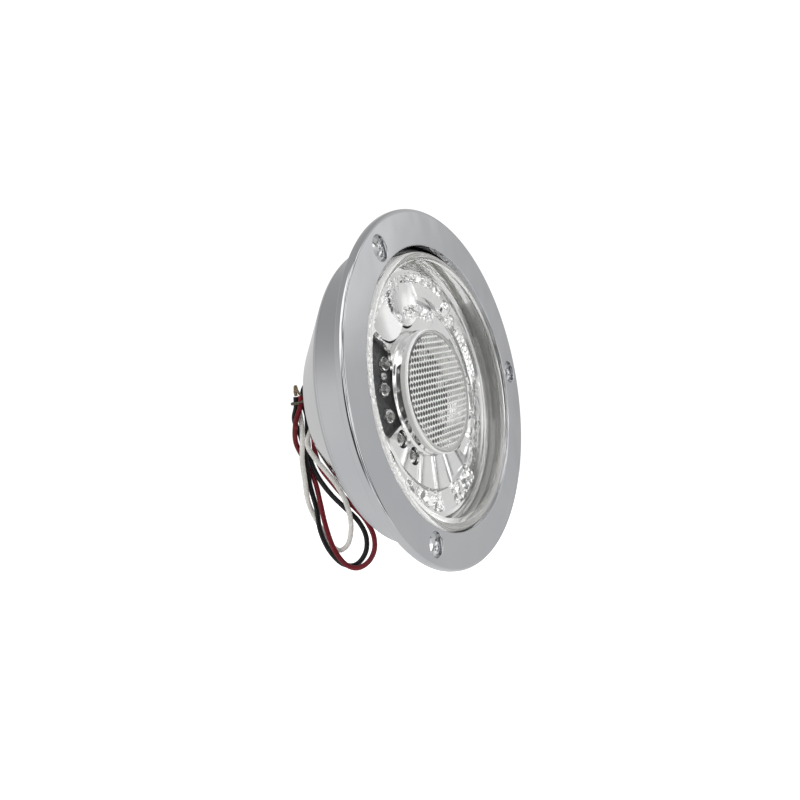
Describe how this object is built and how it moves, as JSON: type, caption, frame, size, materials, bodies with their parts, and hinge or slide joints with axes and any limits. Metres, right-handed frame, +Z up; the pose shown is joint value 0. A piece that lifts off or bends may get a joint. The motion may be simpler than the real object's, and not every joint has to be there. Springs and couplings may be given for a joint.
{
  "type": "trailer tail light",
  "caption": "Round clear-lens LED lamp in a chromed surface-mount flange with countersunk screw holes, a conical rear cover and hook-up leads tied in a loop.",
  "frame": {"origin": "centre of the flange's back face, where it lies on the vehicle panel", "axes": "+Z up, the lens faces -Y, the rear cover and leads point towards +Y, +X to the right seen from the front"},
  "size_m": [0.14, 0.078, 0.14],
  "materials": {
    "chrome_plating": "bright chrome plating on moulded plastic",
    "clear_lens": "clear polycarbonate, slightly warm at the thick edge",
    "clear_optic": "clear polycarbonate with moulded pillow cells",
    "led_epoxy": "clear epoxy",
    "metallised_plastic": "vacuum-metallised plastic",
    "board_mask": "dark solder mask",
    "base_plastic": "light grey moulded plastic",
    "black_rubber": "black moulded rubber",
    "potting_resin": "dark potting resin",
    "plated_steel": "zinc-plated steel",
    "chip_ceramic": "black chip component",
    "black_insulation": "black PVC insulation",
    "red_insulation": "dark red PVC insulation",
    "white_insulation": "off-white PVC insulation",
    "bare_strand": "bare copper strand, dulled and tinned in places",
    "tie_paper": "brown paper-covered wire tie"
  },
  "bodies": {
    "root": {"flange_bezel": "chrome_plating", "rear_cover": "chrome_plating", "rear_grommet": "black_rubber", "lens": "clear_lens", "lens_gasket": "black_rubber", "lamp_base": "base_plastic", "circuit_board": "board_mask", "outer_reflector": "metallised_plastic", "centre_reflector": "metallised_plastic", "centre_optic": "clear_optic", "potting": "potting_resin", "board_screw_1": "plated_steel", "board_screw_2": "plated_steel", "board_screw_3": "plated_steel", "resistor_1": "chip_ceramic", "resistor_2": "chip_ceramic", "resistor_3": "chip_ceramic", "resistor_4": "chip_ceramic", "diode": "chip_ceramic", "lead_black": "black_insulation", "lead_red": "red_insulation", "lead_white": "white_insulation", "inner_lead_black": "black_insulation", "inner_lead_red": "red_insulation", "inner_lead_white": "white_insulation", "lead_end_black": "bare_strand", "lead_end_red": "bare_strand", "lead_end_white": "bare_strand", "lead_tie": "tie_paper", "ring_led_01": "led_epoxy", "ring_led_02": "led_epoxy", "ring_led_03": "led_epoxy", "ring_led_04": "led_epoxy", "ring_led_05": "led_epoxy", "ring_led_06": "led_epoxy", "ring_led_07": "led_epoxy", "ring_led_08": "led_epoxy", "ring_led_09": "led_epoxy", "ring_led_10": "led_epoxy", "centre_led_01": "led_epoxy", "centre_led_02": "led_epoxy", "centre_led_03": "led_epoxy", "centre_led_04": "led_epoxy", "centre_led_05": "led_epoxy", "centre_led_06": "led_epoxy"}
  },
  "joints": []
}
